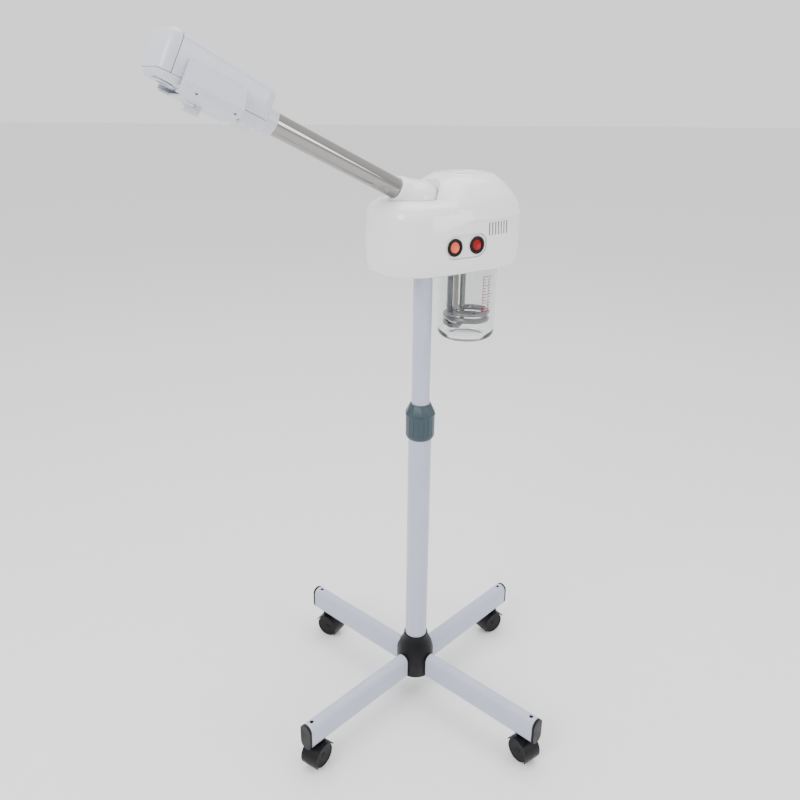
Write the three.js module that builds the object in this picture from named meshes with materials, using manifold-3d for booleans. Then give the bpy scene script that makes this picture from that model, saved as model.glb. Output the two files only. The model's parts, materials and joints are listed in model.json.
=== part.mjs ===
// Facial steamer on a rolling stand: four flat-oval legs on swivelling twin-wheel
// casters, a telescopic pole with a twist clamp, a heater housing with a glass
// water jar, and a steam arm that carries a nozzle head.
// Millimetres, +Z up. The pole stands on the Z axis until the last line shifts
// the finished group so that its box is centred over the origin.
import * as THREE from 'three';
import { mergeVertices } from 'three/addons/utils/BufferGeometryUtils.js';
import Module from 'manifold-3d';

const wasm = await Module();
wasm.setup();

// ---------------------------------------------------------------- dimensions
const GAP = 0.3;                 // clearance between neighbouring pieces
const DEG = Math.PI / 180;

// stand
const LEG_TOP = 80;              // height of the legs' upper edge above the floor
const LEG_HIGH = 40;
const LEG_WIDE = 20;
const LEG_WALL = 1.2;
const LEG_START = 29.5;          // distance of the leg's inner end from the pole
const LEG_END = 224;
const LEG_HOLE = 215.8;          // place of the small hole in each leg's top
const HUB_RADIUS = 27.5;
const SPIGOT_END = 52;           // how far the hub's spigots reach into the legs
const HUB_BOTTOM = 40;
const HUB_TOP = 109;
const LOWER_TUBE_R = 16;
const LOWER_TUBE_WALL = 1.7;
const LOWER_TUBE_BOTTOM = 46;
const LOWER_TUBE_TOP = 465;

// casters
const STEM_PLACE = 202.5;        // distance of each stem from the pole
const WHEEL_R = 18;
const WHEEL_WIDE = 10;
const CASTER_WIDE = 28;
const CASTER_TRAIL = 4;
const HOOD_R = 20.6;
const CASTERS = [
  { name: 'rear_right', leg: 45, yaw: 213 },
  { name: 'rear_left', leg: 135, yaw: 327 },
  { name: 'front_left', leg: 225, yaw: 233 },
  { name: 'front_right', leg: 315, yaw: 304 },
];

// pole
const UPPER_TUBE_R = 12.5;
const UPPER_TUBE_WALL = 1.4;
const UPPER_TUBE_BOTTOM = 240;
const UPPER_TUBE_TOP = 735;
const CLAMP_BOTTOM = 440;
const CLAMP_SPLIT = 476;         // parting between the sleeve and the nut
const CLAMP_TOP = 491;

// housing, in a frame turned by HOUSING_TURN: u along its length, v across it
const HOUSING_TURN = 31.5;
const HOUSING_U = 31;            // its centre, from the pole
const HALF_LONG = 103;
const HALF_WIDE = 61;
const OVAL_POWER = 3.2;
const WALL = 2.5;
const RIM_Z = 678.5;
const DECK_Z = 766;
const DOME_Z = 792.3;
const DOME_U = 61;
const RING_R = 31.5;
const TURRET_U = -14;
const SWITCH_Z = 713;
const SWITCH_U = [4, 38];
const VENT_U = 71.3;
const VENT_Z = 731;

// jar and heater
const JAR_U = 73;
const JAR_R = 38.7;
const JAR_BOTTOM = 575.5;
const JAR_TOP = 716;
const COIL_R = 28;
const ROD_R = 4;
const RETURN_LEG = [-12, -6];     // where the heater's second leg rises, from the jar's axis
const THERMOSTAT = [-13, 7];
const STEAM_PORT = [-6, 17];

// steam arm, in a frame tilted by ARM_RISE: s along the arm, from the pole's axis
const ARM_RISE = 26.25;
const ARM_Z = 758.2;
const ARM_R = 12.5;
const ARM_START = 44;        // the tube slips over the elbow's spigot
const ARM_END = 262;
const FERRULE_START = 225;
const HEAD_START = 240;
const HEAD_END = 363;
const HEAD_HALF_WIDE = 30;
const HEAD_LOW = -13.5;
const HEAD_HIGH = 34;
const HEAD_SEAM = -8;
const CAP_SEAM = 349;
const HOOD_HINGE_S = 270;
const HOOD_HINGE_N = -19.4;

// ----------------------------------------------------------------- materials
const FINISH = {
  tube_paint: { color: 0xc9ccd8, roughness: 0.35, metalness: 0.1 },
  white_gloss: { color: 0xf0f1f3, roughness: 0.18, metalness: 0 },
  head_plastic: { color: 0xd9dde3, roughness: 0.3, metalness: 0 },
  black_plastic: { color: 0x17181a, roughness: 0.5, metalness: 0 },
  clamp_plastic: { color: 0x46545f, roughness: 0.45, metalness: 0 },
  chrome: { color: 0xcfd2d6, roughness: 0.08, metalness: 1 },
  steel: { color: 0x9a9da1, roughness: 0.35, metalness: 1 },
  glass: { color: 0xdfe6ea, roughness: 0.05, metalness: 0 },
  lit_red: { color: 0xe66e5a, roughness: 0.25, metalness: 0 },
  deep_red: { color: 0xb81f1f, roughness: 0.25, metalness: 0 },
  gasket_rubber: { color: 0xc9c2b4, roughness: 0.7, metalness: 0 },
  circuit_green: { color: 0x2f6b45, roughness: 0.6, metalness: 0 },
};

// ------------------------------------------------------------- solid helpers
// A closed three.js geometry as a manifold solid, with its faces pointing out.
function solid(geometry) {
  let plain = geometry.index ? geometry.toNonIndexed() : geometry.clone();
  plain.deleteAttribute('normal');
  plain.deleteAttribute('uv');
  plain = mergeVertices(plain, 1e-4);
  const place = plain.attributes.position.array;
  const corner = plain.index.array;
  const whole = [];
  let volume = 0;
  for (let i = 0; i < corner.length; i += 3) {
    const [a, b, c] = [corner[i], corner[i + 1], corner[i + 2]];
    if (a === b || b === c || c === a) continue;
    whole.push(a, b, c);
    const [p, q, r] = [a, b, c].map((k) => new THREE.Vector3().fromArray(place, 3 * k));
    volume += p.dot(q.cross(r));
  }
  if (volume < 0) whole.reverse();
  return new wasm.Manifold(new wasm.Mesh({
    numProp: 3,
    vertProperties: Float32Array.from(place),
    triVerts: Uint32Array.from(whole),
  }));
}

function toGeometry(manifold) {
  const mesh = manifold.getMesh();
  const geometry = new THREE.BufferGeometry();
  geometry.setAttribute('position', new THREE.BufferAttribute(Float32Array.from(mesh.vertProperties), 3));
  geometry.setIndex(new THREE.BufferAttribute(Uint32Array.from(mesh.triVerts), 1));
  return geometry;
}

function join(first, ...others) {
  return others.reduce((sum, next) => sum.add(next), first);
}

function cut(first, ...others) {
  return others.reduce((rest, next) => rest.subtract(next), first);
}

// A body turned about Z from a list of [radius, height] corners.
function turned(corners, segments = 22) {
  const points = corners.map(([r, z]) => new THREE.Vector2(r, z));
  return solid(new THREE.LatheGeometry(points, segments).rotateX(Math.PI / 2));
}

function rod(radius, low, high, segments = 18) {
  return turned([[0, low], [radius, low], [radius, high], [0, high]], segments);
}

function ring(inner, outer, low, high, segments = 22) {
  return turned([[inner, low], [outer, low], [outer, high], [inner, high], [inner, low]], segments);
}

// A box from its lowest and highest corners.
function block(low, high) {
  const size = high.map((value, i) => value - low[i]);
  const middle = high.map((value, i) => (value + low[i]) / 2);
  return solid(new THREE.BoxGeometry(...size).translate(...middle));
}

function moved(body, x, y, z) {
  return body.translate([x, y, z]);
}

function rotated(body, x, y, z) {
  return body.rotate([x, y, z]);
}

// An outline raised along Z, with its edges rounded by a bevel of the given size.
function raised(outline, low, high, round = 0, steps = 2, curve = 4) {
  const geometry = new THREE.ExtrudeGeometry(outline, {
    depth: high - low - 2 * round,
    bevelEnabled: round > 0,
    bevelThickness: round,
    bevelSize: round,
    bevelOffset: -round,
    bevelSegments: steps,
    curveSegments: curve,
  });
  return solid(geometry.translate(0, 0, low + round));
}

// A rectangle with rounded corners, centred at x, y.
function roundedRectangle(wide, high, round, x = 0, y = 0) {
  const shape = new THREE.Shape();
  const [a, b] = [wide / 2, high / 2];
  shape.moveTo(x - a + round, y - b);
  shape.lineTo(x + a - round, y - b);
  shape.absarc(x + a - round, y - b + round, round, -Math.PI / 2, 0);
  shape.lineTo(x + a, y + b - round);
  shape.absarc(x + a - round, y + b - round, round, 0, Math.PI / 2);
  shape.lineTo(x - a + round, y + b);
  shape.absarc(x - a + round, y + b - round, round, Math.PI / 2, Math.PI);
  shape.lineTo(x - a, y - b + round);
  shape.absarc(x - a + round, y - b + round, round, Math.PI, 1.5 * Math.PI);
  return shape;
}

// Layers of closed outlines, lowest first, joined into one body.
function lofted(layers) {
  const count = layers[0].length;
  const place = layers.flat().flat();
  const corner = [];
  for (let layer = 0; layer + 1 < layers.length; layer += 1) {
    for (let i = 0; i < count; i += 1) {
      const a = layer * count + i;
      const b = layer * count + (i + 1) % count;
      corner.push(a, b, b + count, a, b + count, a + count);
    }
  }
  const last = (layers.length - 1) * count;
  for (let i = 1; i + 1 < count; i += 1) {
    corner.push(0, i + 1, i);
    corner.push(last, last + i, last + i + 1);
  }
  const geometry = new THREE.BufferGeometry();
  geometry.setAttribute('position', new THREE.Float32BufferAttribute(place, 3));
  geometry.setIndex(corner);
  return solid(geometry);
}

// A section swept along a path.
function swept(section, path, steps) {
  return solid(new THREE.ExtrudeGeometry(section, {
    steps, extrudePath: path, bevelEnabled: false, curveSegments: 8,
  }));
}

function disc(radius, sides = 6) {
  const corners = [];
  for (let i = 0; i < sides; i += 1) {
    const turn = 2 * Math.PI * i / sides;
    corners.push(new THREE.Vector2(radius * Math.cos(turn), radius * Math.sin(turn)));
  }
  return new THREE.Shape(corners);
}

// ------------------------------------------------------------- scene helpers
function group(parent, x = 0, y = 0, z = 0, turn = 0) {
  const made = new THREE.Group();
  made.position.set(x, y, z);
  made.rotation.z = turn * DEG;
  parent.add(made);
  return made;
}

function add(parent, name, finish, body) {
  const mesh = new THREE.Mesh(toGeometry(body), new THREE.MeshStandardMaterial(FINISH[finish]));
  mesh.name = name;
  parent.add(mesh);
  return mesh;
}

// --------------------------------------------------------------------- stand
const LEG_MIDDLE = LEG_TOP - LEG_HIGH / 2;

// A flat-oval bar lying along X, from near to far.
function ovalBar(wide, high, near, far) {
  const shape = roundedRectangle(high, wide, wide / 2 - 0.01);
  const bar = raised(shape, near, far, 0, 1, 3);
  return moved(rotated(bar, 0, 90, 0), 0, 0, LEG_MIDDLE);
}

function makeLeg() {
  const outer = ovalBar(LEG_WIDE, LEG_HIGH, LEG_START, LEG_END);
  const inner = ovalBar(LEG_WIDE - 2 * LEG_WALL, LEG_HIGH - 2 * LEG_WALL, LEG_START - 1, LEG_END + 1);
  const topHole = moved(rod(3, LEG_TOP - 5, LEG_TOP + 5, 12), LEG_HOLE, 0, 0);
  const stemHole = moved(rod(5.4, LEG_TOP - LEG_HIGH - 5, LEG_MIDDLE, 12), STEM_PLACE, 0, 0);
  return cut(outer, inner, topHole, stemHole);
}

function makeEndCap() {
  const flange = ovalBar(LEG_WIDE, LEG_HIGH, LEG_END + GAP, LEG_END + 4);
  const inset = 2 * (LEG_WALL + GAP);
  const plug = ovalBar(LEG_WIDE - inset, LEG_HIGH - inset, LEG_END - 4, LEG_END + 1);
  return join(flange, plug);
}

function makeHub() {
  const body = turned([
    [0, HUB_BOTTOM], [HUB_RADIUS - 2, HUB_BOTTOM], [HUB_RADIUS, HUB_BOTTOM + 2],
    [HUB_RADIUS, 80], [25, 90], [21, 98], [18.6, 104], [18, HUB_TOP], [0, HUB_TOP],
  ], 28);
  const inset = 2 * (LEG_WALL + GAP);
  let hub = body;
  for (const { leg } of CASTERS) {
    const shoulder = ovalBar(LEG_WIDE, LEG_HIGH, 8, LEG_START - GAP);
    const spigot = ovalBar(LEG_WIDE - inset, LEG_HIGH - inset, 8, SPIGOT_END);
    hub = hub.add(rotated(join(shoulder, spigot), 0, 0, leg));
  }
  const bore = rod(LOWER_TUBE_R + GAP, LOWER_TUBE_BOTTOM - GAP, HUB_TOP + 5, 22);
  const boltHole = rod(4.3, HUB_BOTTOM - 5, LOWER_TUBE_BOTTOM + 1, 16);
  return cut(hub, bore, boltHole);
}

function makeHubBolt() {
  const head = rod(7.5, HUB_BOTTOM - GAP - 5, HUB_BOTTOM - GAP, 6);
  return join(head, rod(4, HUB_BOTTOM - 2, 58, 16));
}

function makeClampSleeve() {
  let sleeve = turned([
    [LOWER_TUBE_R + GAP, CLAMP_BOTTOM], [17.6, CLAMP_BOTTOM], [20, CLAMP_BOTTOM + 4],
    [20, CLAMP_SPLIT], [LOWER_TUBE_R + GAP, CLAMP_SPLIT], [LOWER_TUBE_R + GAP, CLAMP_BOTTOM],
  ], 22);
  const flutes = 18;
  for (let i = 0; i < flutes; i += 1) {
    const flute = moved(rod(1, CLAMP_BOTTOM + 7, CLAMP_SPLIT - 4, 8), 20.4, 0, 0);
    sleeve = sleeve.subtract(rotated(flute, 0, 0, 360 * i / flutes));
  }
  return sleeve;
}

function makeClampNut() {
  const outer = turned([
    [0, CLAMP_SPLIT + GAP], [21.5, CLAMP_SPLIT + GAP], [21.2, CLAMP_SPLIT + 1.5],
    [15, CLAMP_TOP - 1], [14.2, CLAMP_TOP], [0, CLAMP_TOP],
  ], 10);
  const hollow = rod(LOWER_TUBE_R + GAP, CLAMP_SPLIT - 1, CLAMP_SPLIT + 5);
  const cone = turned([
    [0, CLAMP_SPLIT + 4], [LOWER_TUBE_R + GAP, CLAMP_SPLIT + 4], [13.6, CLAMP_TOP - 3], [0, CLAMP_TOP - 3],
  ]);
  return cut(outer, hollow, cone, rod(UPPER_TUBE_R + GAP, CLAMP_SPLIT, CLAMP_TOP + 1));
}

function makeCollet() {
  const low = LOWER_TUBE_TOP + GAP;
  const sleeve = turned([
    [UPPER_TUBE_R + GAP, low], [15.6, low], [15.6, CLAMP_SPLIT + 4],
    [13.6, CLAMP_TOP - 4], [UPPER_TUBE_R + GAP, CLAMP_TOP - 4], [UPPER_TUBE_R + GAP, low],
  ]);
  return cut(sleeve, block([10, -1, low - 1], [20, 1, CLAMP_TOP]));
}

const steamer = new THREE.Group();
const stand = group(steamer);

add(stand, 'hub', 'black_plastic', makeHub());
add(stand, 'hub_bolt', 'steel', makeHubBolt());
add(stand, 'lower_tube', 'tube_paint',
  ring(LOWER_TUBE_R - LOWER_TUBE_WALL, LOWER_TUBE_R, LOWER_TUBE_BOTTOM, LOWER_TUBE_TOP, 28));
add(stand, 'clamp_sleeve', 'clamp_plastic', makeClampSleeve());
add(stand, 'collet', 'black_plastic', makeCollet());
const clampGroup = group(stand);
add(clampGroup, 'clamp_nut', 'clamp_plastic', makeClampNut());

for (const { name, leg } of CASTERS) {
  const legGroup = group(stand, 0, 0, 0, leg);
  add(legGroup, `leg_${name}`, 'tube_paint', makeLeg());
  add(legGroup, `end_cap_${name}`, 'black_plastic', makeEndCap());
}

// ------------------------------------------------------------------- casters
// Each caster is drawn with its stem on the Z axis and its axle behind it, at +X.
function acrossBar(radius, near, far, segments = 12) {
  return moved(rotated(rod(radius, near, far, segments), 90, 0, 0), CASTER_TRAIL, 0, WHEEL_R);
}

function makeCasterHood() {
  const half = CASTER_WIDE / 2;
  const shape = new THREE.Shape();
  const [start, end] = [-28 * DEG, 150 * DEG];
  shape.absarc(0, 0, HOOD_R, start, end);
  shape.absarc(0, 0, WHEEL_R + 0.8, end, start, true);
  const arch = rotated(raised(shape, -half, half, 0, 1, 7), 90, 0, 0);
  const web = acrossBar(WHEEL_R - 4, -2, 2);
  const neck = block([CASTER_TRAIL - 9, -2, WHEEL_R], [CASTER_TRAIL + 9, 2, WHEEL_R + HOOD_R - 1]);
  const bossTop = LEG_TOP - LEG_HIGH - 0.5;
  const bossLow = WHEEL_R + 10;
  const boss = turned([[0, bossLow], [2, bossLow], [8, bossLow + 9], [8, bossTop], [0, bossTop]], 12);
  const stem = rod(5, bossTop - 1, LEG_MIDDLE + 8, 12);
  const wheelClear = WHEEL_R + 0.8;
  const bossClear = cut(boss, acrossBar(wheelClear, -half, -2.2, 16), acrossBar(wheelClear, 2.2, half, 16));
  const hood = join(moved(arch, CASTER_TRAIL, 0, WHEEL_R), web, neck, bossClear, stem);
  return cut(hood, acrossBar(2.5 + GAP, -half, half, 10));
}

function makeWheel(side) {
  const near = 2 + GAP;
  const far = near + WHEEL_WIDE;
  const tyre = turned([
    [2.5 + GAP, near], [WHEEL_R, near], [WHEEL_R, far - 1.6], [WHEEL_R - 1.6, far], [2.5 + GAP, far],
    [2.5 + GAP, near],
  ], 16);
  return moved(rotated(tyre, side * 90, 0, 0), CASTER_TRAIL, 0, WHEEL_R);
}

for (const { name, leg, yaw } of CASTERS) {
  const place = [STEM_PLACE * Math.cos(leg * DEG), STEM_PLACE * Math.sin(leg * DEG)];
  const caster = group(stand, place[0], place[1], 0, yaw);
  add(caster, `caster_hood_${name}`, 'black_plastic', makeCasterHood());
  add(caster, `caster_axle_${name}`, 'steel', acrossBar(2.5, -11, 11, 10));
  add(caster, `wheel_a_${name}`, 'black_plastic', makeWheel(1));
  add(caster, `wheel_b_${name}`, 'black_plastic', makeWheel(-1));
}

// ---------------------------------------------------------------------- mast
function makeGlidePlug() {
  const low = UPPER_TUBE_BOTTOM - 10;
  const glide = LOWER_TUBE_R - LOWER_TUBE_WALL - GAP;
  const inside = UPPER_TUBE_R - UPPER_TUBE_WALL - GAP;
  return turned([
    [0, low], [glide - 1, low], [glide, low + 1], [glide, UPPER_TUBE_BOTTOM - GAP],
    [inside, UPPER_TUBE_BOTTOM - GAP], [inside, UPPER_TUBE_BOTTOM + 18], [0, UPPER_TUBE_BOTTOM + 18],
  ]);
}

const mast = group(stand);
add(mast, 'upper_tube', 'tube_paint',
  ring(UPPER_TUBE_R - UPPER_TUBE_WALL, UPPER_TUBE_R, UPPER_TUBE_BOTTOM, UPPER_TUBE_TOP, 22));
add(mast, 'glide_plug', 'black_plastic', makeGlidePlug());

// ------------------------------------------------------------------- housing
const housing = group(mast, 0, 0, 0, HOUSING_TURN);

// A squared oval across the housing at one height, from u = left to u = right,
// widest at u = middle. `inset` draws it in all round.
function squaredOval(height, left, middle, right, half, inset) {
  const points = [];
  const sides = 32;
  for (let i = 0; i < sides; i += 1) {
    const turn = 2 * Math.PI * i / sides;
    const [c, s] = [Math.cos(turn), Math.sin(turn)];
    const x = Math.sign(c) * Math.abs(c) ** (2 / OVAL_POWER);
    const y = Math.sign(s) * Math.abs(s) ** (2 / OVAL_POWER);
    const long = (c > 0 ? right - middle : middle - left) - inset;
    points.push([middle + long * x, (half - inset) * y, height]);
  }
  return points;
}

function planOval(height, inset) {
  return squaredOval(height, HOUSING_U - HALF_LONG, HOUSING_U, HOUSING_U + HALF_LONG, HALF_WIDE, inset);
}

// Outer skin of the housing, or its inner face when `inset` is the wall: a low
// deck at the arm's end, and a dome over the jar with a round cove for the elbow.
function housingBody(inset) {
  const low = inset > 0 ? RIM_Z - 5 : RIM_Z;
  const lower = lofted([
    planOval(low, inset + 5), planOval(RIM_Z + 4, inset + 1), planOval(RIM_Z + 40, inset),
    planOval(DECK_Z - 18, inset + 1.4), planOval(DECK_Z - 7, inset + 5), planOval(DECK_Z - inset, inset + 16),
  ]);
  const dome = lofted([
    squaredOval(DECK_Z - 23, -9, HOUSING_U, 133.5, 60.8, inset),
    squaredOval(DECK_Z - 5, -5, HOUSING_U, 127.5, 57, inset),
    squaredOval(DECK_Z + 5, -2, 45, 118.5, 51, inset),
    squaredOval(DECK_Z + 15 - inset / 2, 4, 55, 108, 43, inset),
    squaredOval(DOME_Z - inset, 25, DOME_U, 93, 33, inset),
  ]);
  const cove = moved(rod(30 + inset, DECK_Z - inset, DOME_Z + 20, 28), TURRET_U, 0, 0);
  return join(lower, cut(dome, cove));
}

// A pill-shaped bar through the housing's front wall, around both switches.
function switchPill(grow, near, far) {
  const wide = SWITCH_U[1] - SWITCH_U[0] + 30 + 2 * grow;
  const shape = roundedRectangle(wide, 29 + 2 * grow, 14.4 + grow);
  const pill = rotated(raised(shape, near, far), 90, 0, 0);
  return moved(pill, (SWITCH_U[0] + SWITCH_U[1]) / 2, 0, SWITCH_Z);
}

// A round bar through the front wall, around one switch.
function frontBar(radius, near, far, u, z, segments = 20) {
  return moved(rotated(rod(radius, near, far, segments), 90, 0, 0), u, 0, z);
}

function makeHousingCover() {
  let cover = housingBody(0);
  cover = cover.add(moved(turned([
    [0, DOME_Z - 6], [RING_R, DOME_Z - 6], [RING_R, DOME_Z], [RING_R - 1, DOME_Z + 1],
    [RING_R - 4, DOME_Z + 1], [0, DOME_Z + 1],
  ], 28), DOME_U, 0, 0));
  cover = cover.subtract(housingBody(WALL));
  cover = cover.subtract(moved(rod(26, DOME_Z - 20, DOME_Z + 5, 28), DOME_U, 0, 0));
  cover = cover.subtract(moved(rod(19, DECK_Z - 10, DECK_Z + 5, 22), TURRET_U, 0, 0));
  cover = cover.subtract(switchPill(GAP, 40, 80));
  const vents = 7;
  for (let i = 0; i < vents; i += 1) {
    const u = VENT_U + 4.9 * (i - (vents - 1) / 2);
    cover = cover.subtract(block([u - 1, -70, VENT_Z - 8], [u + 1, -40, VENT_Z + 8]));
  }
  return cover.subtract(frontBar(8.3, -70, -40, HOUSING_U, RIM_Z + 20));
}

function makeHousingBase() {
  const plate = lofted([planOval(RIM_Z + 0.5, WALL + 5.6), planOval(RIM_Z + 4, WALL + 1.6)]);
  const poleHole = rod(19.3, RIM_Z - 5, RIM_Z + 10, 22);
  const jarHole = moved(rod(44 + GAP, RIM_Z - 5, RIM_Z + 10, 28), JAR_U, 0, 0);
  return cut(plate, poleHole, jarHole);
}

function makePoleSocket() {
  const inner = UPPER_TUBE_R + GAP;
  return turned([
    [inner, RIM_Z - 2], [19, RIM_Z - 2], [19, RIM_Z + 12], [16.5, RIM_Z + 14], [16.5, UPPER_TUBE_TOP + 4],
    [0, UPPER_TUBE_TOP + 4], [0, UPPER_TUBE_TOP + GAP], [inner, UPPER_TUBE_TOP + GAP], [inner, RIM_Z - 2],
  ]);
}

function makeSwitchPlate() {
  let plate = switchPill(0, 55.6, 58.4);
  for (const u of SWITCH_U) plate = plate.subtract(frontBar(10.3, 50, 62, u, SWITCH_Z));
  return plate;
}

function makeBezel() {
  const rim = turned([
    [9.6, 58.7], [11.6, 58.7], [11.6, 60.2], [10.8, 61], [9.6, 61], [9.6, 58.7],
  ]);
  const barrel = ring(9.6, 10, 46, 59);
  return rotated(join(rim, barrel, rod(9.8, 44, 46.5, 22)), 90, 0, 0);
}

// Rocker of a round switch: it turns about a line along u through its pivot,
// and it rests with its upper half pressed in.
const ROCKER_PIVOT = 57;
const ROCKER_TILT = 8;

function makeRocker() {
  const button = rod(9.2, -4, 3.6, 20);
  const sweep = rotated(rod(9.3, -10, 10, 24), 0, 90, 0);
  const shaped = button.intersect(sweep);
  const valley = moved(rotated(rod(30, -10, 10, 22), 0, 90, 0), 0, 0, 32.6);
  return rotated(cut(shaped, valley), 90 - ROCKER_TILT, 0, 0);
}

// The heater rod comes down at the coil's edge, winds down twice and goes back
// up inside the coil.
function makeCoil() {
  const turns = 2;
  const perTurn = 14;
  const pitch = 9.4;
  const bottom = JAR_BOTTOM + 20;
  const top = JAR_TOP + 4;
  const points = [];
  for (let z = top; z > bottom + turns * pitch + 8; z -= 12) points.push(new THREE.Vector3(-COIL_R, 0, z));
  for (let i = 0; i <= turns * perTurn; i += 1) {
    const turn = Math.PI + 2 * Math.PI * i / perTurn;
    const z = bottom + turns * pitch - pitch * i / perTurn;
    points.push(new THREE.Vector3(COIL_R * Math.cos(turn), COIL_R * Math.sin(turn), z));
  }
  const [x, y] = RETURN_LEG;
  points.push(new THREE.Vector3(6 - COIL_R, -9, bottom - 1));
  points.push(new THREE.Vector3(x - 1, y - 2, bottom + 5));
  for (let z = bottom + 16; z < top - 4; z += 12) points.push(new THREE.Vector3(x, y, z));
  points.push(new THREE.Vector3(x, y, top));
  return swept(disc(ROD_R), new THREE.CatmullRomCurve3(points), 60);
}

function makeHeaterFlange() {
  const low = JAR_TOP + 3;
  const plate = rod(38.4, low, low + 7, 28);
  const rim = rod(26, low, low + 11.2, 22);
  const rodHole = rod(ROD_R + GAP, low - 5, low + 4, 16);
  const coilHoles = [[-COIL_R, 0], RETURN_LEG].map(([x, y]) => moved(rodHole, x, y, 0));
  const steamHole = moved(rod(3.8, low - 5, low + 20, 12), ...STEAM_PORT, 0);
  return cut(join(plate, rim), ...coilHoles, steamHole);
}

function makeCollar() {
  return turned([
    [JAR_R + GAP + 0.2, RIM_Z - 3], [42.6, RIM_Z - 3], [44, RIM_Z - 1], [44, JAR_TOP + 12],
    [30, JAR_TOP + 12], [30, JAR_TOP + 10 + GAP], [JAR_R + GAP + 0.2, JAR_TOP + 10 + GAP],
    [JAR_R + GAP + 0.2, RIM_Z - 3],
  ], 28);
}

function makeJar() {
  const wall = 2.6;
  const inner = JAR_R - wall;
  return turned([
    [0, JAR_BOTTOM], [JAR_R - 9, JAR_BOTTOM], [JAR_R - 4, JAR_BOTTOM + 1.6], [JAR_R - 1.2, JAR_BOTTOM + 5.4],
    [JAR_R, JAR_BOTTOM + 11], [JAR_R, JAR_TOP], [inner, JAR_TOP], [inner, JAR_BOTTOM + 13],
    [inner - 2, JAR_BOTTOM + 8], [inner - 7, JAR_BOTTOM + 5.5], [0, JAR_BOTTOM + 5],
  ], 28);
}

function makeFunnel() {
  const top = DOME_Z - 3.2;
  return turned([
    [8, JAR_TOP + 20], [10, JAR_TOP + 20], [12, JAR_TOP + 30], [25, top - 14], [25.7, top],
    [23.4, top], [22.8, top - 13], [8, JAR_TOP + 26], [8, JAR_TOP + 20],
  ], 22);
}

function makeLid() {
  const low = DOME_Z - 2.9;
  const cap = turned([
    [0, low], [25.7, low], [25.7, DOME_Z - 0.4], [24.5, DOME_Z], [19, DOME_Z],
    [17.5, DOME_Z - 1], [0, DOME_Z - 1],
  ], 28);
  const grip = raised(roundedRectangle(26, 4, 1.9), DOME_Z - 2, DOME_Z + 0.4, 0.4, 1);
  return join(cap, grip);
}

function makeSteamHose() {
  const section = disc(5.5);
  section.holes.push(new THREE.Path(disc(3.8).getPoints().reverse()));
  const path = new THREE.CatmullRomCurve3([
    new THREE.Vector3(JAR_U + STEAM_PORT[0], STEAM_PORT[1], JAR_TOP + 15.2),
    new THREE.Vector3(JAR_U + STEAM_PORT[0], STEAM_PORT[1] + 0.5, JAR_TOP + 21),
    new THREE.Vector3(58, 25, JAR_TOP + 29), new THREE.Vector3(38, 24, JAR_TOP + 33),
    new THREE.Vector3(12, 14, JAR_TOP + 34), new THREE.Vector3(TURRET_U + 5, 3, JAR_TOP + 35),
    new THREE.Vector3(TURRET_U, 0, DECK_Z - 8.6),
  ]);
  return swept(section, path, 14);
}

add(housing, 'housing_cover', 'white_gloss', makeHousingCover());
add(housing, 'housing_base', 'white_gloss', makeHousingBase());
add(housing, 'pole_socket', 'white_gloss', makePoleSocket());
add(housing, 'switch_plate', 'white_gloss', makeSwitchPlate());
add(housing, 'steam_hose', 'gasket_rubber', makeSteamHose());
const CORD_Z = RIM_Z + 20;
const gland = join(frontBar(8, -62, -54, HOUSING_U, CORD_Z), frontBar(10, -65, -61.2, HOUSING_U, CORD_Z));
add(housing, 'cord_gland', 'black_plastic', gland.subtract(frontBar(4, -70, -57, HOUSING_U, CORD_Z, 16)));
add(housing, 'circuit_board', 'circuit_green', block([-62, -22, RIM_Z + 5.3], [-26, 22, RIM_Z + 7]));

const jarAxis = group(housing, JAR_U);
add(jarAxis, 'jar_collar', 'white_gloss', makeCollar());
add(jarAxis, 'heater_coil', 'steel', makeCoil());
add(jarAxis, 'heater_flange', 'white_gloss', makeHeaterFlange());
add(jarAxis, 'thermostat_tube', 'gasket_rubber',
  moved(rod(3.4, JAR_BOTTOM + 38, JAR_TOP + 3 - GAP, 12), ...THERMOSTAT, 0));
add(jarAxis, 'jar_gasket', 'gasket_rubber', ring(35.6, 38.4, JAR_TOP + GAP, JAR_TOP + 3 - GAP, 28));
const jarGroup = group(jarAxis);
add(jarGroup, 'glass_jar', 'glass', makeJar());

const lidGroup = group(housing, DOME_U);
add(lidGroup, 'filler_lid', 'white_gloss', makeLid());
add(lidGroup, 'filler_funnel', 'white_gloss', makeFunnel());

const SWITCHES = [['power', 'lit_red'], ['ozone', 'deep_red']];
SWITCHES.forEach(([name, finish], i) => {
  const switchGroup = group(housing, SWITCH_U[i], 0, SWITCH_Z);
  add(switchGroup, `${name}_switch_bezel`, 'black_plastic', makeBezel());
  const rockerGroup = group(switchGroup, 0, -ROCKER_PIVOT, 0);
  add(rockerGroup, `${name}_rocker`, finish, makeRocker());
});

// ----------------------------------------------------------------- steam arm
// The turret stands on the deck and swivels about Z. Inside it the arm's own
// frame is tilted: s runs out along the arm, n is up and across it.
const turret = group(housing, TURRET_U, 0, 0, 180);

// Places a body drawn along +X (s) and +Z (n) in the turret's frame.
function tilted(body) {
  return moved(rotated(body, 0, -ARM_RISE, 0), TURRET_U, 0, ARM_Z);
}

function alongArm(corners, segments = 22) {
  return rotated(turned(corners, segments), 0, 90, 0);
}

function armRod(radius, near, far, segments = 22) {
  return alongArm([[0, near], [radius, near], [radius, far], [0, far]], segments);
}

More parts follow.
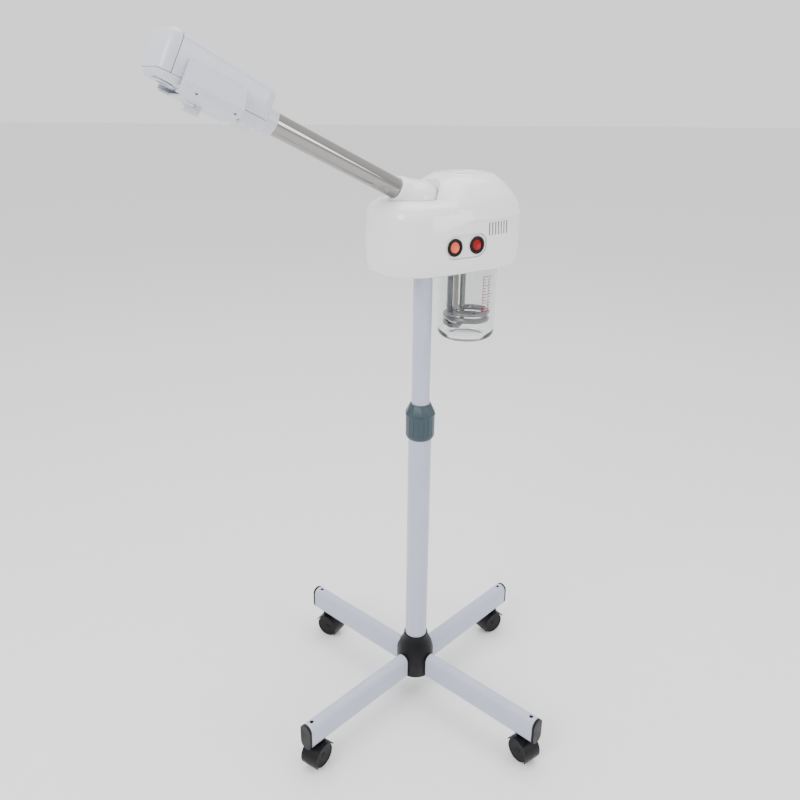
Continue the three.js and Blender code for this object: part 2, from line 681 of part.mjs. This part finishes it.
function makeElbow() {
  const cone = tilted(alongArm([
    [0, 8], [25.5, 8], [24, 18], [19.5, 31], [17, 41], [16.4, 47.5], [15.4, 48.5], [0, 48.5],
  ]));
  const dome = turned([
    [0, DECK_Z - 10], [27.5, DECK_Z - 10], [27.5, DECK_Z + 3], [25, DECK_Z + 11], [19, DECK_Z + 17.5],
    [10, DECK_Z + 21], [0, DECK_Z + 21.5],
  ], 28);
  const above = block([-80, -60, DECK_Z + GAP], [80, 60, DECK_Z + 80]);
  const spigot = rod(18.6, DECK_Z - 8, DECK_Z + 1, 22);
  const bore = tilted(armRod(ARM_R + GAP, ARM_START - GAP, 60));
  const tubeSpigot = tilted(armRod(ARM_R - 1.2 - GAP, ARM_START - 4, ARM_START + 24));
  const steamWay = tilted(armRod(8.5, 12, ARM_START + 30));
  const downWay = rod(8, DECK_Z - 12, DECK_Z + 4, 24);
  const turret = cut(join(join(cone, dome).intersect(above), spigot), bore);
  return cut(turret.add(tubeSpigot.intersect(above)), steamWay, downWay);
}

add(turret, 'arm_elbow', 'white_gloss', makeElbow());

const arm = group(turret, TURRET_U, 0, ARM_Z);
arm.rotation.y = -ARM_RISE * DEG;
add(arm, 'arm_tube', 'chrome', alongArm([
  [ARM_R - 1.2, ARM_START], [ARM_R, ARM_START], [ARM_R, ARM_END],
  [ARM_R - 1.2, ARM_END], [ARM_R - 1.2, ARM_START],
], 22));
add(arm, 'head_ferrule', 'head_plastic', alongArm([
  [ARM_R + GAP, FERRULE_START], [14.6, FERRULE_START], [16, FERRULE_START + 2], [16, HEAD_START - GAP],
  [ARM_R + GAP, HEAD_START - GAP], [ARM_R + GAP, FERRULE_START],
], 22));

// ---------------------------------------------------------------------- head
const head = group(arm);

// The head as a straight rounded block, drawn in by `inset`.
function headBlock(inset) {
  const length = HEAD_END - HEAD_START - 2 * inset;
  const middle = (HEAD_END + HEAD_START) / 2;
  const shape = roundedRectangle(length, 2 * (HEAD_HALF_WIDE - inset), 12 - inset, middle, 0);
  return raised(shape, HEAD_LOW + inset, HEAD_HIGH - inset, 8 - inset, 3);
}

// Gives the straight block its taper: the roof falls towards the arm while the
// belly deepens and the parting line rises a little.
function taperedHead(body) {
  return body.warp((point) => {
    const share = Math.min(1, Math.max(0, (HEAD_END - point[0]) / (HEAD_END - HEAD_START)));
    const seam = HEAD_SEAM + 3 * share;
    const roof = HEAD_HIGH - 7 * share;
    const belly = HEAD_LOW - 5 * share;
    if (point[2] > HEAD_SEAM) {
      point[2] = seam + (point[2] - HEAD_SEAM) * (roof - seam) / (HEAD_HIGH - HEAD_SEAM);
    } else {
      point[2] = seam + (point[2] - HEAD_SEAM) * (seam - belly) / (HEAD_SEAM - HEAD_LOW);
    }
  });
}

const OUTLET_S = 344;
const OUTLET_BORE = 6.5;

// One piece of the head's shell: the part between two corners, tapered, with the
// arm's way in and the steam outlet cut through it.
function headPiece(low, high) {
  const straight = cut(headBlock(0), headBlock(2.4)).intersect(block(low, high));
  const outletHole = moved(rod(9.3, HEAD_LOW - 8, HEAD_SEAM + 3, 20), OUTLET_S, 0, 0);
  return cut(taperedHead(straight), armRod(ARM_R + GAP, HEAD_START - 5, ARM_END + 1), outletHole);
}

function makeNozzleOutlet() {
  const face = HEAD_LOW - 1.2;
  const low = face - 1.4;
  return moved(turned([
    [OUTLET_BORE, low], [10.8, low], [11.4, low + 0.5], [11.4, face - GAP],
    [9, face - GAP], [9, 2], [OUTLET_BORE, 2], [OUTLET_BORE, low],
  ]), OUTLET_S, 0, 0);
}

// A U-shaped flap under the head, hung on its arm end, whose sides stand proud
// along their lower edges. A small L-shaped handle hangs below it.
function makeNozzleHood() {
  const [near, far] = [HOOD_HINGE_S - 1, 328];
  const [wingNear, wingFar] = [near + 6, 338];
  const side = HEAD_HALF_WIDE + 0.5;
  const floorTop = HOOD_HINGE_N + 1;
  const floorLow = HOOD_HINGE_N - 1;
  const wings = [1, -1].map((way) => {
    const section = new THREE.Shape([
      [side - 6, floorLow], [side - 3, floorLow], [side + 9, floorLow + 6], [side + 11.5, floorLow + 12],
      [side + 0.8, 13], [side, 12.5], [side, floorTop], [side - 6, floorTop],
    ].map(([w, n]) => new THREE.Vector2(way * w, n)));
    return rotated(rotated(raised(section, wingNear, wingFar), 90, 0, 0), 0, 0, 90);
  });
  const floor = block([near, 5 - side, floorLow], [far, side - 5, floorTop]);
  const stem = block([301.5, -3.5, floorLow - 4], [307.5, 3.5, floorLow + 0.5]);
  const bar = raised(roundedRectangle(19, 8, 3, 310.5, 0), floorLow - 10, floorLow - 3, 1, 2);
  return join(floor, ...wings, stem, bar);
}

const wide = HEAD_HALF_WIDE + 10;
add(head, 'head_lower_shell', 'head_plastic', headPiece([200, -wide, -40], [400, wide, HEAD_SEAM - GAP / 2]));
add(head, 'head_upper_shell', 'head_plastic',
  headPiece([200, -wide, HEAD_SEAM + GAP / 2], [CAP_SEAM - GAP / 2, wide, 60]));
add(head, 'head_front_cap', 'head_plastic',
  headPiece([CAP_SEAM + GAP / 2, -wide, HEAD_SEAM + GAP / 2], [400, wide, 60]));
add(head, 'ozone_lamp', 'glass', moved(armRod(5, 270, 330, 12), 0, 0, 18));
add(head, 'nozzle_outlet', 'head_plastic', makeNozzleOutlet());
const hoodGroup = group(head, HOOD_HINGE_S, 0, HOOD_HINGE_N);
add(hoodGroup, 'nozzle_hood', 'head_plastic', moved(makeNozzleHood(), -HOOD_HINGE_S, 0, -HOOD_HINGE_N));

steamer.updateMatrixWorld(true);
const box = new THREE.Box3().setFromObject(steamer, true);
const centre = box.getCenter(new THREE.Vector3());
steamer.position.set(-centre.x, -centre.y, -box.min.z);
steamer.updateMatrixWorld(true);

export default steamer;
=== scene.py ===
"""Looks of a facial steamer on a rolling stand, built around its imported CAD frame. Metres, +Z up."""
import json
import math

import bmesh
import bpy
from mathutils import Matrix, Vector
from mathutils.bvhtree import BVHTree


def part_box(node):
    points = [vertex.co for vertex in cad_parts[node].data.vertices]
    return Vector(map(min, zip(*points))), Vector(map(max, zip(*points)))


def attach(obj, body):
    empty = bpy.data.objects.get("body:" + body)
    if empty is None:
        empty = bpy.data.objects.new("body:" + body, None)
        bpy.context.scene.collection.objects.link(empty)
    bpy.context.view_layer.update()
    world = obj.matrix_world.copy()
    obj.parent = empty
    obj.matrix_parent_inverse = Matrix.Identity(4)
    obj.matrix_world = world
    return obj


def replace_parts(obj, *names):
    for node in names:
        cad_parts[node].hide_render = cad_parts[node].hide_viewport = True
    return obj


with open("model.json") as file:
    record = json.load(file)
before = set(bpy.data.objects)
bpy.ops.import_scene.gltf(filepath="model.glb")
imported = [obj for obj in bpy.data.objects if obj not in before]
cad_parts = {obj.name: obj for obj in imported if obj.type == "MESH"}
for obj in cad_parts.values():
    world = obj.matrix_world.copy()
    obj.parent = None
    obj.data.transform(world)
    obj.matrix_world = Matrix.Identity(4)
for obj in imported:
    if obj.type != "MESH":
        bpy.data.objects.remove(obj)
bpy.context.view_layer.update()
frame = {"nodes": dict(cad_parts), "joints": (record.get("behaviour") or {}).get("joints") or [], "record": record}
MM = 0.001

joints = {joint["name"]: joint for joint in frame["joints"]}
body_of_node = {
    node: body for body, nodes in frame["record"]["behaviour"]["bodies"].items() for node in nodes
}
slot_of_node = {part["node"]: part["material_slot"] for part in frame["record"]["subparts"]}


def middle(node):
    """The middle of a CAD node's box, which for a round node lies on its axis."""
    low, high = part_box(node)
    return (low + high) / 2


# ---------------------------------------------------------------- camera

POLE = middle("upper_tube")
EYE_FROM_POLE = Vector((-0.074, -1.005, 0))
EYE_HEIGHT = 0.907
LOOK_AZIMUTH = math.radians(87.387)
LOOK_DOWN = math.radians(22.26)
CAMERA_ROLL = math.radians(-0.573)
LENS_MM = 35.87


def make_camera():
    data = bpy.data.cameras.new("camera")
    data.lens = LENS_MM
    data.sensor_width = 36
    camera = bpy.data.objects.new("camera", data)
    bpy.context.collection.objects.link(camera)
    level = math.cos(LOOK_DOWN)
    ahead = Vector((math.cos(LOOK_AZIMUTH), math.sin(LOOK_AZIMUTH), 0)) * level
    forward = ahead - Vector((0, 0, math.sin(LOOK_DOWN)))
    right = Vector((math.sin(LOOK_AZIMUTH), -math.cos(LOOK_AZIMUTH), 0))
    down = forward.cross(right)
    across = right * math.cos(CAMERA_ROLL) + down * math.sin(CAMERA_ROLL)
    up = right * math.sin(CAMERA_ROLL) - down * math.cos(CAMERA_ROLL)
    turn = Matrix((across, up, -forward)).transposed().to_4x4()
    eye = Vector((POLE.x, POLE.y, EYE_HEIGHT)) + EYE_FROM_POLE
    camera.matrix_world = Matrix.Translation(eye) @ turn
    bpy.context.scene.camera = camera


make_camera()


# ---------------------------------------------------------------- materials

def link_noise(tree, scale, detail=3.0):
    """A noise in the piece's own space, in features per metre."""
    place = tree.nodes.new("ShaderNodeTexCoord")
    noise = tree.nodes.new("ShaderNodeTexNoise")
    noise.inputs["Scale"].default_value = scale
    noise.inputs["Detail"].default_value = detail
    tree.links.new(place.outputs["Object"], noise.inputs["Vector"])
    return noise.outputs["Fac"]


def spread(tree, source, low, high):
    """Maps the middle of a noise to the range low..high."""
    node = tree.nodes.new("ShaderNodeMapRange")
    node.inputs["From Min"].default_value = 0.3
    node.inputs["From Max"].default_value = 0.7
    node.inputs["To Min"].default_value = low
    node.inputs["To Max"].default_value = high
    tree.links.new(source, node.inputs["Value"])
    return node.outputs["Result"]


def make_material(
    name, colour, rough,
    grain=900, bump=0.04, shift=0.06, metal=0.0, coat=0.0, glow=0.0, clear=0.0, shine=0.5,
):
    """Principled surface with a slow colour drift, uneven gloss and a fine surface grain."""
    material = bpy.data.materials.new(name)
    material.use_nodes = True
    tree = material.node_tree
    shader = tree.nodes["Principled BSDF"]
    shader.inputs["Metallic"].default_value = metal
    shader.inputs["Specular IOR Level"].default_value = shine
    shader.inputs["Coat Weight"].default_value = coat
    shader.inputs["Coat Roughness"].default_value = 0.08
    shader.inputs["Transmission Weight"].default_value = clear
    ramp = tree.nodes.new("ShaderNodeValToRGB")
    ramp.color_ramp.elements[0].position = 0.3
    ramp.color_ramp.elements[1].position = 0.7
    ramp.color_ramp.elements[0].color = (*[part * (1 - shift) for part in colour], 1)
    ramp.color_ramp.elements[1].color = (*colour, 1)
    tree.links.new(link_noise(tree, 24), ramp.inputs["Fac"])
    tree.links.new(ramp.outputs["Color"], shader.inputs["Base Color"])
    uneven = spread(tree, link_noise(tree, 70), rough * 0.82, rough * 1.18)
    tree.links.new(uneven, shader.inputs["Roughness"])
    relief = tree.nodes.new("ShaderNodeBump")
    relief.inputs["Strength"].default_value = bump
    relief.inputs["Distance"].default_value = 0.0004
    tree.links.new(link_noise(tree, grain), relief.inputs["Height"])
    tree.links.new(relief.outputs["Normal"], shader.inputs["Normal"])
    if glow:
        shader.inputs["Emission Color"].default_value = (*colour, 1)
        shader.inputs["Emission Strength"].default_value = glow
    return material


FINISHES = {
    "tube_paint": dict(colour=(0.47, 0.49, 0.62), rough=0.36, grain=1500, bump=0.10, coat=0.1),
    "white_gloss": dict(colour=(0.86, 0.865, 0.87), rough=0.17, grain=350, bump=0.02, shift=0.02, coat=0.35),
    "head_plastic": dict(colour=(0.60, 0.63, 0.70), rough=0.26, grain=500, bump=0.03, shift=0.03, coat=0.15),
    "black_plastic": dict(
        colour=(0.004, 0.004, 0.005), rough=0.42,
        grain=1700, bump=0.18, shift=0.2, shine=0.22,
    ),
    "wheel_tread": dict(
        colour=(0.003, 0.003, 0.004), rough=0.45,
        grain=1200, bump=0.12, shift=0.25, shine=0.2,
    ),
    "clamp_plastic": dict(colour=(0.035, 0.058, 0.075), rough=0.34, grain=1100, bump=0.10, shine=0.35),
    # The chrome's colour is darkened below that of bright metal, as a painted dark reflection of surroundings that
    # are not built.
    "chrome": dict(colour=(0.30, 0.295, 0.28), rough=0.06, grain=300, bump=0.01, shift=0.03, metal=1.0),
    "steel": dict(colour=(0.16, 0.16, 0.165), rough=0.2, grain=1400, bump=0.08, metal=1.0),
    "glass": dict(colour=(0.88, 0.905, 0.905), rough=0.02, grain=60, bump=0.02, shift=0.01, clear=1.0),
    "lit_red": dict(colour=(0.80, 0.13, 0.07), rough=0.25, grain=700, bump=0.03, glow=0.05, shine=0.2),
    "deep_red": dict(colour=(0.30, 0.003, 0.003), rough=0.3, grain=700, bump=0.03, shine=0.2),
    "gasket_rubber": dict(colour=(0.60, 0.55, 0.46), rough=0.6, grain=1300, bump=0.12),
    "circuit_green": dict(colour=(0.03, 0.16, 0.06), rough=0.4, grain=400, bump=0.1),
}
materials = {name: make_material(name, **finish) for name, finish in FINISHES.items()}


# ---------------------------------------------------------------- mesh helpers

SMOOTH_UNDER = math.radians(32)
SOFT_UNDER = math.radians(52)


def finished(name, mesh, body, slot, edge, smooth_under=SMOOTH_UNDER):
    """A piece of the object: soft shading, rounded edges, a material, and a body to ride on."""
    shape = bmesh.new()
    shape.from_mesh(mesh)
    bmesh.ops.remove_doubles(shape, verts=shape.verts, dist=2e-6)
    bmesh.ops.dissolve_limit(shape, angle_limit=math.radians(0.6), verts=shape.verts, edges=shape.edges)
    bmesh.ops.recalc_face_normals(shape, faces=shape.faces)
    for face in shape.faces:
        face.smooth = True
    for line in shape.edges:
        line.smooth = line.calc_face_angle(math.pi) < smooth_under
    shape.to_mesh(mesh)
    shape.free()
    mesh.materials.clear()
    mesh.materials.append(materials[slot])
    piece = bpy.data.objects.new(name, mesh)
    bpy.context.collection.objects.link(piece)
    if edge:
        rounding = piece.modifiers.new("rounded_edges", "BEVEL")
        rounding.width = edge
        rounding.segments = 2
        rounding.limit_method = "ANGLE"
        rounding.angle_limit = smooth_under
        rounding.harden_normals = True
    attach(piece, body)
    return piece


SOFT_NODES = {
    "housing_cover", "head_front_cap", "head_upper_shell", "head_lower_shell", "arm_elbow", "hub",
}


def refined(node, edge=0.4 * MM, slot=None):
    """Stands for a CAD node with its own shape, smoothly shaded and with rounded edges."""
    mesh = frame["nodes"][node].data.copy()
    smooth_under = SOFT_UNDER if node in SOFT_NODES else SMOOTH_UNDER
    slot = slot or slot_of_node[node]
    piece = finished(f"{node}_shape", mesh, body_of_node[node], slot, edge, smooth_under)
    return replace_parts(piece, node)


def turned(profile, centre, axis=(0, 0, 1), steps=96, closed=False):
    """A mesh turned about an axis from (radius, distance along the axis) points."""
    shape = bmesh.new()
    to_place = Matrix.Translation(centre) @ Vector(axis).to_track_quat("Z", "Y").to_matrix().to_4x4()
    rings = []
    for radius, along in profile:
        count = steps if radius > 1e-7 else 1
        turn = [math.tau * i / count for i in range(count)]
        rings.append([
            shape.verts.new(to_place @ Vector((radius * math.cos(a), radius * math.sin(a), along)))
            for a in turn
        ])
    pairs = list(zip(rings, rings[1:]))
    if closed:
        pairs.append((rings[-1], rings[0]))
    for first, second in pairs:
        for i in range(steps):
            j = (i + 1) % steps
            corners = [
                first[i % len(first)], first[j % len(first)],
                second[j % len(second)], second[i % len(second)],
            ]
            face = list(dict.fromkeys(corners))
            if len(face) > 2:
                shape.faces.new(face)
    mesh = bpy.data.meshes.new("turned")
    shape.to_mesh(mesh)
    shape.free()
    return mesh


def arc(radius_at, along_at, bend, start, end, points=8):
    """Points of a quarter or other part of a circle, in a turned profile."""
    for i in range(points + 1):
        a = math.radians(start + (end - start) * i / points)
        yield radius_at + bend * math.cos(a), along_at + bend * math.sin(a)


# ---------------------------------------------------------------- glass jar

JAR_WALL = 2.6 * MM
JAR_BEND = 10 * MM


def make_jar():
    low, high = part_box("glass_jar")
    outer = (high.x - low.x) / 2
    inner = outer - JAR_WALL
    floor = low.z + 5 * MM
    bend_in = JAR_BEND - JAR_WALL
    profile = [
        (0, low.z + 0.8 * MM),
        (outer - JAR_BEND - 6 * MM, low.z + 0.8 * MM),
        (outer - JAR_BEND - 4 * MM, low.z),
        *arc(outer - JAR_BEND, low.z + JAR_BEND, JAR_BEND, -90, 0),
        (outer, high.z - 0.8 * MM),
        (outer - 0.8 * MM, high.z),
        (inner + 0.8 * MM, high.z),
        (inner, high.z - 0.8 * MM),
        *arc(inner - bend_in, floor + bend_in, bend_in, 0, -90),
        (0, floor),
    ]
    centre = middle("glass_jar")
    mesh = turned(profile, Vector((centre.x, centre.y, 0)))
    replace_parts(finished("water_jar", mesh, "jar", "glass", 0), "glass_jar")
    return Vector((centre.x, centre.y, low.z)), outer


SCALE_TURN = math.radians(-56)
SCALE_LOW = 42 * MM
SCALE_STEP = 3.9 * MM
SCALE_MARKS = 13


def make_scale(foot, radius):
    """Plain printed ticks, with a stem line, lying just proud of the jar's wall."""
    shape = bmesh.new()

    def printed(turn_from, turn_to, z_from, z_to):
        steps = 5
        sheets = []
        for out in (0.04 * MM, 0.14 * MM):
            for z in (z_from, z_to):
                row = []
                for i in range(steps + 1):
                    a = SCALE_TURN + (turn_from + (turn_to - turn_from) * i / steps) / radius
                    r = radius + out
                    row.append(shape.verts.new(foot + Vector((r * math.cos(a), r * math.sin(a), z))))
                sheets.append(row)
        ring = [sheets[0], sheets[1], sheets[3], sheets[2]]
        for first, second in zip(ring, ring[1:] + ring[:1]):
            for i in range(steps):
                shape.faces.new((first[i], first[i + 1], second[i + 1], second[i]))
        for end in (0, steps):
            shape.faces.new([row[end] for row in ring])

    top = SCALE_LOW + SCALE_STEP * (SCALE_MARKS - 1)
    for side in (-6 * MM, 3 * MM):
        printed(side - 0.35 * MM, side + 0.35 * MM, SCALE_LOW, top + 0.9 * MM)
    for i in range(SCALE_MARKS):
        z = SCALE_LOW + SCALE_STEP * i
        long = (7 if i % 3 == 0 else 4.5) * MM
        printed(-5.5 * MM, -5.5 * MM + long, z, z + 0.9 * MM)
        printed(3.5 * MM, 3.5 * MM + long * 0.7, z, z + 0.9 * MM)
    mesh = bpy.data.meshes.new("scale")
    shape.to_mesh(mesh)
    shape.free()
    finished("jar_scale", mesh, "jar", "deep_red", 0)


jar_foot, jar_radius = make_jar()
make_scale(jar_foot, jar_radius)


# ---------------------------------------------------------------- wheels and tubes

def make_wheel(node):
    """A nylon wheel with a round-shouldered tread, dished sides and a hub boss."""
    joint = joints[node.replace("wheel_", "wheel_spin_")]
    axis = Vector(joint["axis"])
    low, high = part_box(node)
    radius = (high.z - low.z) / 2
    half = ((high.x - low.x) - 2 * radius * abs(axis.y)) / abs(axis.x) / 2
    dish = 0.6 * MM
    bore = 2.9 * MM
    shoulder = 1.0 * MM
    boss, dish_inner, dish_outer, rim = 4 * MM, 4.6 * MM, 15.2 * MM, 15.9 * MM
    side = [(bore, half), (boss, half), (dish_inner, half - dish), (dish_outer, half - dish), (rim, half)]
    tread = list(arc(radius - shoulder, half - shoulder, shoulder, 90, 0, 5))
    top = side + tread
    bottom = [(r, -t) for r, t in reversed(top)]
    mesh = turned(top + bottom, middle(node), axis, 64, closed=True)
    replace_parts(finished(f"{node}_shape", mesh, body_of_node[node], slot_of_node[node], 0.25 * MM), node)


def make_pole(node, wall):
    """A round drawn tube with eased ends."""
    low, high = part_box(node)
    outer = (high.x - low.x) / 2
    ease = 0.4 * MM
    profile = [
        (outer - wall, low.z), (outer - ease, low.z), (outer, low.z + ease), (outer, high.z - ease),
        (outer - ease, high.z), (outer - wall, high.z),
    ]
    centre = middle(node)
    mesh = turned(profile, Vector((centre.x, centre.y, 0)), closed=True)
    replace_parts(finished(f"{node}_shape", mesh, body_of_node[node], slot_of_node[node], 0), node)


remade = ["glass_jar", "power_switch_bezel", "power_rocker", "ozone_switch_bezel", "ozone_rocker"]
for node in frame["nodes"]:
    if node.startswith("wheel_"):
        make_wheel(node)
        remade.append(node)
for node, wall in (("lower_tube", 1.7 * MM), ("upper_tube", 1.4 * MM)):
    make_pole(node, wall)
    remade.append(node)

USUAL_EDGE = 0.4 * MM
EDGE_OF = {
    "housing_cover": 0,
    "head_front_cap": 1.5 * MM,
    "hub": 0.6 * MM,
    "head_upper_shell": 0.5 * MM,
    "circuit_board": 0.2 * MM,
}
for node in list(frame["nodes"]):
    if node.startswith("caster_axle"):
        refined(node, 0.3 * MM, "black_plastic")
    elif node not in remade:
        refined(node, EDGE_OF.get(node, USUAL_EDGE))


# ---------------------------------------------------------------- switches and vents

SIDEWAYS = Vector(joints["power_switch_rock"]["axis"])
FRONT = SIDEWAYS.cross(Vector((0, 0, 1)))
ROCKER_R = 6.9 * MM
BEZEL_BORE = 7.3 * MM
ROCKER_TILT = math.radians(8)


def make_switch(name, slot):
    """A round switch: a black bezel with a deep collar, and a dished rocker tilted in it."""
    pivot = Vector(joints[f"{name}_switch_rock"]["pos_m"])
    bezel = [
        (BEZEL_BORE, 3.2 * MM), (8.1 * MM, 4 * MM), (9.8 * MM, 4 * MM),
        *arc(10.1 * MM, 3.1 * MM, 0.8 * MM, 90, 0, 5),
        (10.9 * MM, 1.8 * MM), (9.9 * MM, 1.8 * MM), (9.9 * MM, -9 * MM), (BEZEL_BORE, -9 * MM),
    ]
    mesh = turned(bezel, pivot, FRONT, 64, closed=True)
    ring = finished(f"{name}_bezel_ring", mesh, "housing", "black_plastic", 0)
    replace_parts(ring, f"{name}_switch_bezel")
    face = [(0, 1.9 * MM), (3 * MM, 2.1 * MM), (5.4 * MM, 2.7 * MM), (6.2 * MM, 2.9 * MM),
            (ROCKER_R, 2.4 * MM), (ROCKER_R, -2.3 * MM), (0, -2.3 * MM)]
    tilted = Matrix.Rotation(-ROCKER_TILT, 3, SIDEWAYS) @ FRONT
    cap = finished(f"{name}_rocker_cap", turned(face, pivot, tilted, 64), f"{name}_rocker", slot, 0)
    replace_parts(cap, f"{name}_rocker")


VENT_SLOTS = 7
VENT_PITCH = 4.9 * MM
VENT_MIDDLE = 71.3 * MM
VENT_Z = 731 * MM
ABOVE_VENTS = Vector((0, 0, 11 * MM))
FROM_OUTSIDE = 0.2
# Painted shade in the vent slots: the size of the dark blocks, and how far they sit back behind the wall.
SHADE_BLOCK_SIZE = (1.6 * MM, 1.4 * MM, 15.4 * MM)
SHADE_BLOCK_DEPTH = 1.2 * MM


def on_surface(node, start, way):
    """The first point of a CAD node's surface that a line from start meets, and the way it faces there."""
    mesh = frame["nodes"][node].data
    corners = [vertex.co for vertex in mesh.vertices]
    tree = BVHTree.FromPolygons(corners, [list(face.vertices) for face in mesh.polygons])
    return tree.ray_cast(start, way)[:2]


def make_vent_painted_shade():
    """Dark blocks set back in the vent slots of the housing: painted shade that stands for the shadow inside the
    vents.
    """
    shape = bmesh.new()
    turn = Matrix((SIDEWAYS, -FRONT, Vector((0, 0, 1)))).transposed().to_4x4()
    size = Matrix.Diagonal((*SHADE_BLOCK_SIZE, 1))
    middle_of_vents = Vector((POLE.x, POLE.y, VENT_Z)) + SIDEWAYS * VENT_MIDDLE
    for i in range(VENT_SLOTS):
        slot_line = middle_of_vents + SIDEWAYS * VENT_PITCH * (i - (VENT_SLOTS - 1) / 2)
        wall, _ = on_surface("housing_cover", slot_line + FRONT * FROM_OUTSIDE + ABOVE_VENTS, -FRONT)
        place = Matrix.Translation(wall - FRONT * SHADE_BLOCK_DEPTH - ABOVE_VENTS)
        bmesh.ops.create_cube(shape, size=1, matrix=place @ turn @ size)
    mesh = bpy.data.meshes.new("vent_painted_shade")
    shape.to_mesh(mesh)
    shape.free()
    finished("vent_painted_shade", mesh, "housing", "black_plastic", 0.2 * MM)


make_switch("power", "lit_red")
make_switch("ozone", "deep_red")
# Dark blocks in the vent slots paint the shade inside the vents.
make_vent_painted_shade()


# ---------------------------------------------------------------- head details

roll = joints["head_roll"]
tilt = joints["nozzle_hood_tilt"]
ALONG = Vector(roll["axis"])
ACROSS = Vector(tilt["axis"])
UPWARD = ALONG.cross(ACROSS)


def make_screw(name, centre, out, radius, body, slot):
    """A small pan-head screw with a turned rim, proud of the face it sits on."""
    profile = [(0, -0.6 * MM), (radius, -0.6 * MM), *arc(radius - 0.5 * MM, 0.1 * MM, 0.5 * MM, 0, 90, 4),
               (radius * 0.45, 0.6 * MM), (radius * 0.35, -0.1 * MM), (0, -0.1 * MM)]
    finished(name, turned(profile, centre, out, 32), body, slot, 0)


ROLL_ALONG = 240 * MM
BESIDE_HEAD = 0.1
SCREWS_ALONG = (("near", 281 * MM), ("far", 323 * MM))
SCREWS_UP = -15.2 * MM
SCREW_RADIUS = 1.5 * MM


def on_head(along, side, up):
    """A point near the head, given along the arm's line from the pole, across it and up from it."""
    start = Vector(roll["pos_m"]) - ALONG * ROLL_ALONG
    return start + ALONG * along + ACROSS * side + UPWARD * up


for name, along in SCREWS_ALONG:
    for side, label in ((-1, "right"), (1, "left")):
        beside = on_head(along, side * BESIDE_HEAD, SCREWS_UP)
        place, out = on_surface("nozzle_hood", beside, ACROSS * -side)
        make_screw(f"hood_screw_{name}_{label}", place, out, SCREW_RADIUS, "nozzle_hood", "steel")


# ---------------------------------------------------------------- studio

def make_light(name, place, target, size, power):
    data = bpy.data.lights.new(name, "AREA")
    data.size = size
    data.energy = power
    light = bpy.data.objects.new(name, data)
    light.location = place
    light.rotation_euler = (Vector(target) - Vector(place)).to_track_quat("-Z", "Y").to_euler()
    bpy.context.collection.objects.link(light)


BRIGHT = 1.3
DIM = 0.6


def make_world():
    """A soft tent of light, brightest above and at the back."""
    world = bpy.data.worlds.new("studio")
    world.use_nodes = True
    tree = world.node_tree
    place = tree.nodes.new("ShaderNodeTexCoord")
    split = tree.nodes.new("ShaderNodeSeparateXYZ")
    tree.links.new(place.outputs["Generated"], split.inputs["Vector"])
    brighter = tree.nodes.new("ShaderNodeMath")
    brighter.operation = "MAXIMUM"
    for i, (part, start, end) in enumerate((("Y", -0.75, 0.1), ("Z", 0.15, 0.75))):
        ease = tree.nodes.new("ShaderNodeMapRange")
        ease.interpolation_type = "SMOOTHSTEP"
        ease.inputs["From Min"].default_value = start
        ease.inputs["From Max"].default_value = end
        tree.links.new(split.outputs[part], ease.inputs["Value"])
        tree.links.new(ease.outputs["Result"], brighter.inputs[i])
    strength = tree.nodes.new("ShaderNodeMapRange")
    strength.inputs["To Min"].default_value = DIM
    strength.inputs["To Max"].default_value = BRIGHT
    tree.links.new(brighter.outputs["Value"], strength.inputs["Value"])
    tree.links.new(strength.outputs["Result"], tree.nodes["Background"].inputs["Strength"])
    tree.nodes["Background"].inputs["Color"].default_value = (1, 1, 1, 1)
    bpy.context.scene.world = world


def make_studio():
    make_light("key_light", (-1.4, -1.6, 2.0), (0, 0, 0.6), 1.2, 42)
    make_light("fill_light", (1.8, -1.2, 1.2), (0, 0, 0.5), 0.9, 14)
    make_light("top_light", (0.2, 0.4, 2.6), (0, 0, 0.4), 2.0, 34)
    make_world()
    bpy.ops.mesh.primitive_plane_add(size=30)
    floor = bpy.context.object
    floor.name = "floor"
    floor.data.materials.append(
        make_material("floor", (0.9, 0.9, 0.905), 0.6, grain=200, bump=0.01, shift=0.01)
    )


make_studio()
